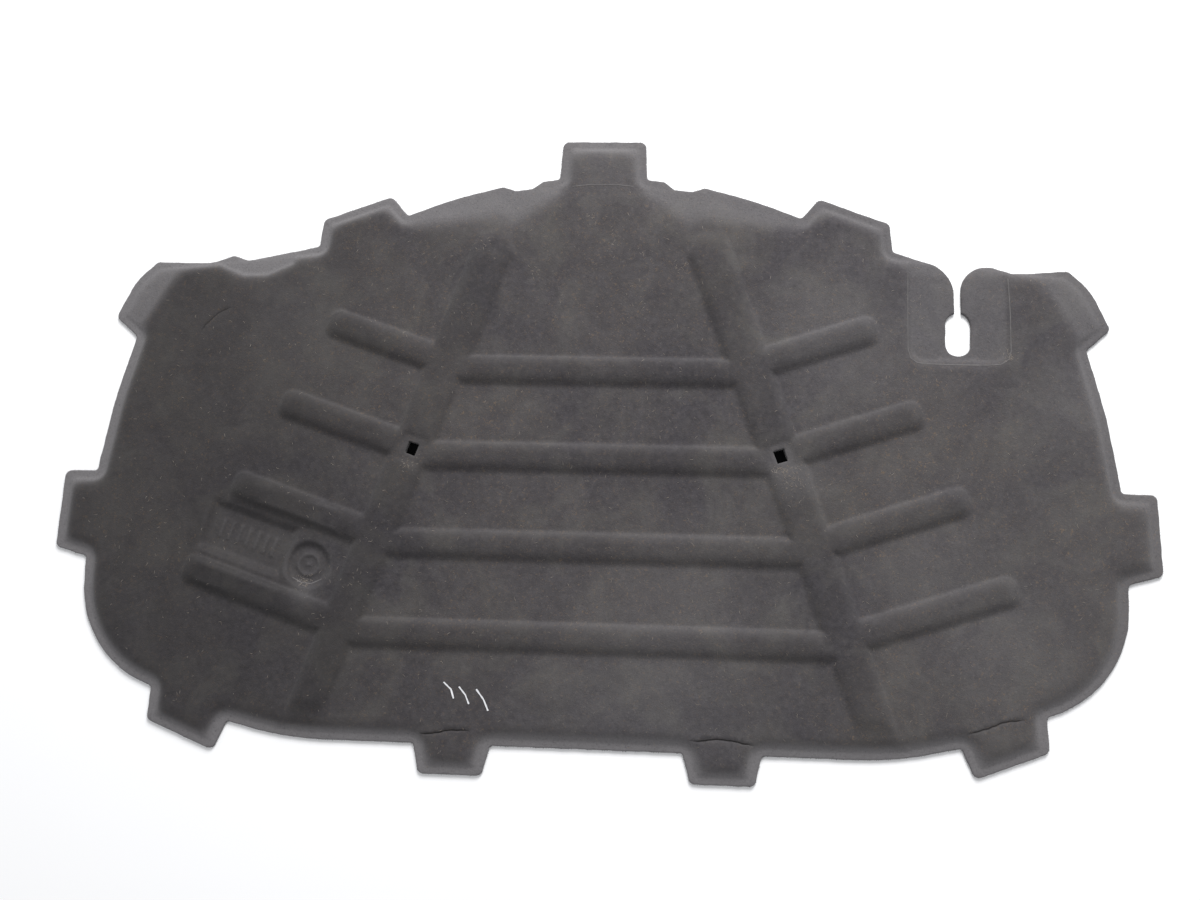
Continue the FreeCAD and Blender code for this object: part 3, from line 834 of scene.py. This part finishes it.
def ribbons(name, lines, material):
    """Thin ribbons along lines of places, each with its half widths and a function that gives its heights."""
    points, faces = [], []
    for line, half_widths, height_at in lines:
        across = left_of(np.gradient(line, axis=0)) * half_widths[:, None]
        start = len(points)
        left = np.column_stack([line + across, height_at(line + across)])
        right = np.column_stack([line - across, height_at(line - across)])
        points += np.stack([left, right], axis=1).reshape(-1, 3).tolist()
        for i in range(start, start + 2 * len(line) - 2, 2):
            faces.append((i, i + 1, i + 3, i + 2))
    made = mesh_object(name, points, faces)
    made.data.materials.append(material)
    made.parent = pad


def curled(start, angle, length, count):
    """Places along a fibre that bends at random."""
    line = [start]
    bend = rng.uniform(-FIBRE_BEND, FIBRE_BEND)
    stride = length / count
    for _ in range(count):
        angle += bend + rng.uniform(-FIBRE_KINK, FIBRE_KINK)
        x, y = line[-1]
        line.append((x + math.cos(angle) * stride, y + math.sin(angle) * stride))
    return np.array(line)


def lint():
    """Pale loose fibres that lie on the upper side."""
    starts = [(rng.uniform(low[0], high[0]), rng.uniform(low[1], high[1])) for _ in range(LINT_COUNT)]
    for (x, y), radius, count in LINT_CLUSTERS:
        starts += [(rng.gauss(x, radius / 2), rng.gauss(y, radius / 2)) for _ in range(count)]
    lines = []
    whole_felt = near_felt.astype(float)
    for start in starts:
        line = curled(start, rng.uniform(0, math.tau), rng.uniform(*LINT_LENGTH), len(LINT_TAPER) - 1)
        if sampled(whole_felt, line).min() < WHOLLY:
            continue
        widths = rng.uniform(*LINT_HALF_WIDTH) * np.array(LINT_TAPER)
        lines.append((line, widths, above_felt(rng.uniform(*LINT_LIFT))))
    ribbons("pad_lint", lines, fibre_material("lint", LINT_COLOURS))


def fuzz():
    """Short dark fibres that stand out from the cut edge."""
    lines = []
    outline = loops[0]
    inward = inward_of(outline)
    for _ in range(FUZZ_COUNT):
        at = rng.randrange(len(outline))
        out = math.atan2(-inward[at][1], -inward[at][0]) + rng.uniform(-FUZZ_FAN, FUZZ_FAN)
        root = tuple(outline[at] + inward[at] * FUZZ_ROOT)
        line = curled(root, out, rng.uniform(*FUZZ_LENGTH), len(FUZZ_CLIMB) - 1)
        heights = rng.uniform(*FUZZ_HEIGHT) + np.array(FUZZ_CLIMB)
        lines.append((line, np.array(FUZZ_HALF_WIDTHS), fixed(heights)))
    ribbons("pad_fuzz", lines, fibre_material("fuzz", FUZZ_COLOURS))


def strokes(name, paths, half_width, material):
    """Thin lines drawn on the upper side, uneven in width."""
    lines = []
    for path in paths:
        path = np.array(path, float)
        length = float(np.linalg.norm(path[-1] - path[0]))
        count = max(STROKE_LEAST_PLACES, round(length / STROKE_STEP))
        spots = np.linspace(0, len(path) - 1, count)
        line = np.column_stack([np.interp(spots, range(len(path)), path[:, i]) for i in (0, 1)])
        unevenness = np.array([STROKE_UNEVENNESS * wander(p, STROKE_WAVE, STROKE_OFFSET) for p in line])
        lines.append((line, half_width * (1 + unevenness), above_felt(STROKE_LIFT)))
    ribbons(name, lines, material)


lint()
fuzz()
strokes("pad_chalk", CHALK_STROKES, CHALK_HALF_WIDTH, fibre_material("chalk", CHALK_COLOURS))
# A crease across the front tab, and painted highlights on the recess lip and along the slot zone's edges
strokes("pad_creases_and_highlights", CREASES_AND_HIGHLIGHTS, CREASE_AND_HIGHLIGHT_HALF_WIDTH, fibre_material("crease_and_highlight", CREASE_AND_HIGHLIGHT_COLOURS))


# Floor, light and camera

def plain_material(name, colour, roughness):
    """One even colour, for the floor and the painted shadow below the clip holes."""
    material, _, shader = blank_material(name)
    shader.inputs["Base Color"].default_value = (*colour, 1.0)
    shader.inputs["Roughness"].default_value = roughness
    shader.inputs["Specular IOR Level"].default_value = LOW_SPECULAR
    return material


def level_square(name, middle, half, drop, material):
    """Level square this far below the pad."""
    x, y = middle
    corners = [(x - half, y - half, -drop), (x + half, y - half, -drop),
               (x + half, y + half, -drop), (x - half, y + half, -drop)]
    made = mesh_object(name, corners, [(0, 1, 2, 3)])
    made.data.materials.append(material)
    return made


white = plain_material("floor", FLOOR_COLOUR, FLOOR_ROUGHNESS)
floor = level_square("floor", (0, 0), FLOOR_HALF, FLOOR_DROP, white)
# Near black squares just under the clip holes: a painted shadow, so that the holes look black
dark = plain_material("painted_shadow", PAINTED_SHADOW_COLOUR, PAINTED_SHADOW_ROUGHNESS)
for name, side in (("painted_shadow_left", -1), ("painted_shadow_right", 1)):
    below = (side * CLIP_HOLE_PLACE[0], CLIP_HOLE_PLACE[1])
    level_square(name, below, CLIP_SHADOW_HALF, CLIP_SHADOW_DROP, dark)


def area_light(name, place, aim, size, power):
    """Soft square light at a place, turned to another."""
    data = bpy.data.lights.new(name, "AREA")
    data.size = size * MM
    data.energy = power
    made = bpy.data.objects.new(name, data)
    made.location = Vector(place) * MM
    made.rotation_euler = (Vector(aim) - Vector(place)).to_track_quat("-Z", "Y").to_euler()
    bpy.context.scene.collection.objects.link(made)


area_light("key", KEY_PLACE, KEY_AIM, KEY_SIZE, KEY_POWER)
world = bpy.data.worlds.new("studio")
world.use_nodes = True
sky = world.node_tree.nodes["Background"]
sky.inputs["Color"].default_value = (*SKY_COLOUR, 1.0)
sky.inputs["Strength"].default_value = SKY_STRENGTH
bpy.context.scene.world = world

lens = bpy.data.cameras.new("camera")
lens.lens = LENS
lens.sensor_width = SENSOR
lens.sensor_fit = "HORIZONTAL"
camera = bpy.data.objects.new("camera", lens)
camera.location = Vector(CAMERA_PLACE) * MM
camera.rotation_euler = Euler([math.radians(angle) for angle in CAMERA_TURN], "XYZ")
bpy.context.scene.collection.objects.link(camera)
bpy.context.scene.camera = camera
bpy.context.scene.view_settings.view_transform = "Standard"

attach(pad, "root")
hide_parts("insulation_pad")
